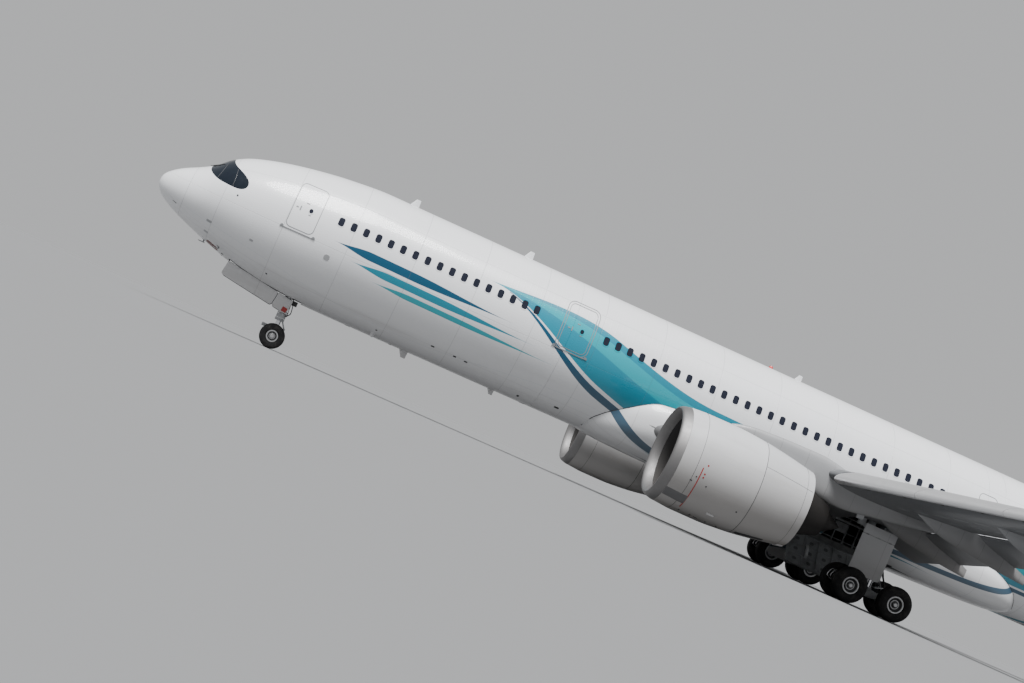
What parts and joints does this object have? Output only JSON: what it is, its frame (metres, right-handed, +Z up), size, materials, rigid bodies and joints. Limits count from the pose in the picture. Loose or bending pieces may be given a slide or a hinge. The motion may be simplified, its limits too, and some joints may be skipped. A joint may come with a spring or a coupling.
{
  "type": "wide body airliner, 1:2 scale model",
  "caption": "Half-size model of a wide body twin-engine airliner on its landing gear, with turning fans and wheels, moving control surfaces and hinged doors.",
  "frame": {"origin": "on the floor, midway between the wing tips and midway between the nose tip and the fin's rear tip", "axes": "+X to port, +Y aft along the body, +Z up; the nose points to -Y"},
  "size_m": [31.9526, 31.83, 8.395],
  "materials": {
    "white_paint": "gloss paint",
    "grey_paint": "satin paint",
    "bare_metal": "polished",
    "gear_steel": "painted and plated steel",
    "hot_metal": "heat-darkened",
    "fan_blade": "satin composite",
    "tyre": "matt",
    "windscreen": "dark coated glass"
  },
  "bodies": {
    "airframe": {"radome": "white_paint", "cockpit_windows": "windscreen", "fuselage_forward": "white_paint", "fuselage_centre": "white_paint", "fuselage_rear": "white_paint", "tail_cone": "white_paint", "belly_fairing_front": "white_paint", "belly_fairing_centre": "white_paint", "belly_fairing_rear": "white_paint", "nose_leg_door_left": "white_paint", "nose_leg_door_right": "white_paint", "wing_left": "grey_paint", "wing_right": "grey_paint", "slat_inner_left": "bare_metal", "slat_inner_right": "bare_metal", "slat_outer_left": "bare_metal", "slat_outer_right": "bare_metal", "flap_inner_left": "grey_paint", "flap_inner_right": "grey_paint", "flap_outer_left": "grey_paint", "flap_outer_right": "grey_paint", "tailplane_left": "white_paint", "tailplane_right": "white_paint", "fin": "white_paint", "inlet_lip_left": "bare_metal", "inlet_lip_right": "bare_metal", "engine_cowl_left": "white_paint", "engine_cowl_right": "white_paint", "engine_core_left": "hot_metal", "engine_core_right": "hot_metal", "pylon_left": "white_paint", "pylon_right": "white_paint", "nose_leg": "gear_steel", "main_leg_left": "gear_steel", "main_leg_right": "gear_steel", "bogie_left": "gear_steel", "bogie_right": "gear_steel", "leg_door_left": "white_paint", "leg_door_right": "white_paint"},
    "nose_gear_door_left": {"nose_gear_door_left": "white_paint"},
    "nose_gear_door_right": {"nose_gear_door_right": "white_paint"},
    "main_gear_door_left": {"main_gear_door_left": "white_paint"},
    "main_gear_door_right": {"main_gear_door_right": "white_paint"},
    "cargo_door_front": {"cargo_door_front": "white_paint"},
    "cargo_door_rear": {"cargo_door_rear": "white_paint"},
    "aileron_left": {"aileron_left": "grey_paint"},
    "aileron_right": {"aileron_right": "grey_paint"},
    "spoilers_left": {"spoilers_left": "grey_paint"},
    "spoilers_right": {"spoilers_right": "grey_paint"},
    "elevator_left": {"elevator_left": "white_paint"},
    "elevator_right": {"elevator_right": "white_paint"},
    "rudder": {"rudder": "white_paint"},
    "fan_left": {"fan_left": "fan_blade"},
    "fan_right": {"fan_right": "fan_blade"},
    "nose_fork": {"nose_fork": "gear_steel"},
    "nose_wheels": {"nose_wheels": "tyre"},
    "main_wheels_front_left": {"main_wheels_front_left": "tyre"},
    "main_wheels_front_right": {"main_wheels_front_right": "tyre"},
    "main_wheels_rear_left": {"main_wheels_rear_left": "tyre"},
    "main_wheels_rear_right": {"main_wheels_rear_right": "tyre"}
  },
  "joints": [
    {"name": "nose_gear_door_left_hinge", "type": "hinge", "parent": "airframe", "child": "nose_gear_door_left", "pos_m": [0.303, -13.99, 1.30115], "axis": [0, 0.9886, -0.1505], "range_deg": [0, 88]},
    {"name": "nose_gear_door_right_hinge", "type": "hinge", "parent": "airframe", "child": "nose_gear_door_right", "pos_m": [-0.303, -13.99, 1.30115], "axis": [0, -0.9886, 0.1505], "range_deg": [0, 88]},
    {"name": "main_gear_door_left_hinge", "type": "hinge", "parent": "airframe", "child": "main_gear_door_left", "pos_m": [0.232, -1.04, 0.945], "axis": [0, 1, 0], "range_deg": [-62, 0]},
    {"name": "main_gear_door_right_hinge", "type": "hinge", "parent": "airframe", "child": "main_gear_door_right", "pos_m": [-0.232, -1.04, 0.945], "axis": [0, -1, 0], "range_deg": [-62, 0]},
    {"name": "cargo_door_front_hinge", "type": "hinge", "parent": "airframe", "child": "cargo_door_front", "pos_m": [-1.3755, -9.765, 2.175], "axis": [0, 1, 0], "range_deg": [0, 110]},
    {"name": "cargo_door_rear_hinge", "type": "hinge", "parent": "airframe", "child": "cargo_door_rear", "pos_m": [-1.3755, 6.235, 2.175], "axis": [0, 1, 0], "range_deg": [0, 110]},
    {"name": "aileron_left_hinge", "type": "hinge", "parent": "airframe", "child": "aileron_left", "pos_m": [12.075, 3.49583, 3.06209], "axis": [0.9058, 0.4066, 0.1191], "range_deg": [-25, 25]},
    {"name": "aileron_right_hinge", "type": "hinge", "parent": "airframe", "child": "aileron_right", "pos_m": [-12.075, 3.49583, 3.06209], "axis": [0.9058, -0.4066, -0.1191], "range_deg": [-25, 25]},
    {"name": "spoilers_left_hinge", "type": "hinge", "parent": "airframe", "child": "spoilers_left", "pos_m": [7.55, 1.37284, 2.56449], "axis": [0.9044, 0.4119, 0.1115], "range_deg": [0, 50]},
    {"name": "spoilers_right_hinge", "type": "hinge", "parent": "airframe", "child": "spoilers_right", "pos_m": [-7.55, 1.37284, 2.56449], "axis": [0.9044, -0.4119, -0.1115], "range_deg": [0, 50]},
    {"name": "elevator_left_hinge", "type": "hinge", "parent": "airframe", "child": "elevator_left", "pos_m": [2.8125, 14.56116, 3.27382], "axis": [0.9337, 0.3449, 0.0963], "range_deg": [-20, 30]},
    {"name": "elevator_right_hinge", "type": "hinge", "parent": "airframe", "child": "elevator_right", "pos_m": [-2.8125, 14.56116, 3.27382], "axis": [0.9337, -0.3449, -0.0963], "range_deg": [-20, 30]},
    {"name": "rudder_hinge", "type": "hinge", "parent": "airframe", "child": "rudder", "pos_m": [0, 14.23346, 6.1225], "axis": [0, 0.4715, 0.8819], "range_deg": [-30, 30]},
    {"name": "fan_left_spin", "type": "hinge", "parent": "airframe", "child": "fan_left", "pos_m": [4.685, -4.505, 1.225], "axis": [0, 1, 0], "continuous": true},
    {"name": "fan_right_spin", "type": "hinge", "parent": "airframe", "child": "fan_right", "pos_m": [-4.685, -4.505, 1.225], "axis": [0, 1, 0], "continuous": true},
    {"name": "nose_steering", "type": "hinge", "parent": "airframe", "child": "nose_fork", "pos_m": [0, -12.58, 0.675], "axis": [0, 0, 1], "range_deg": [-72, 72]},
    {"name": "nose_wheels_spin", "type": "hinge", "parent": "nose_fork", "child": "nose_wheels", "pos_m": [0, -12.58, 0.2625], "axis": [1, 0, 0], "continuous": true},
    {"name": "main_wheels_front_left_spin", "type": "hinge", "parent": "airframe", "child": "main_wheels_front_left", "pos_m": [2.67, -0.385, 0.35], "axis": [1, 0, 0], "continuous": true},
    {"name": "main_wheels_front_right_spin", "type": "hinge", "parent": "airframe", "child": "main_wheels_front_right", "pos_m": [-2.67, -0.385, 0.35], "axis": [1, 0, 0], "continuous": true},
    {"name": "main_wheels_rear_left_spin", "type": "hinge", "parent": "airframe", "child": "main_wheels_rear_left", "pos_m": [2.67, 0.605, 0.35], "axis": [1, 0, 0], "continuous": true},
    {"name": "main_wheels_rear_right_spin", "type": "hinge", "parent": "airframe", "child": "main_wheels_rear_right", "pos_m": [-2.67, 0.605, 0.35], "axis": [1, 0, 0], "continuous": true}
  ]
}
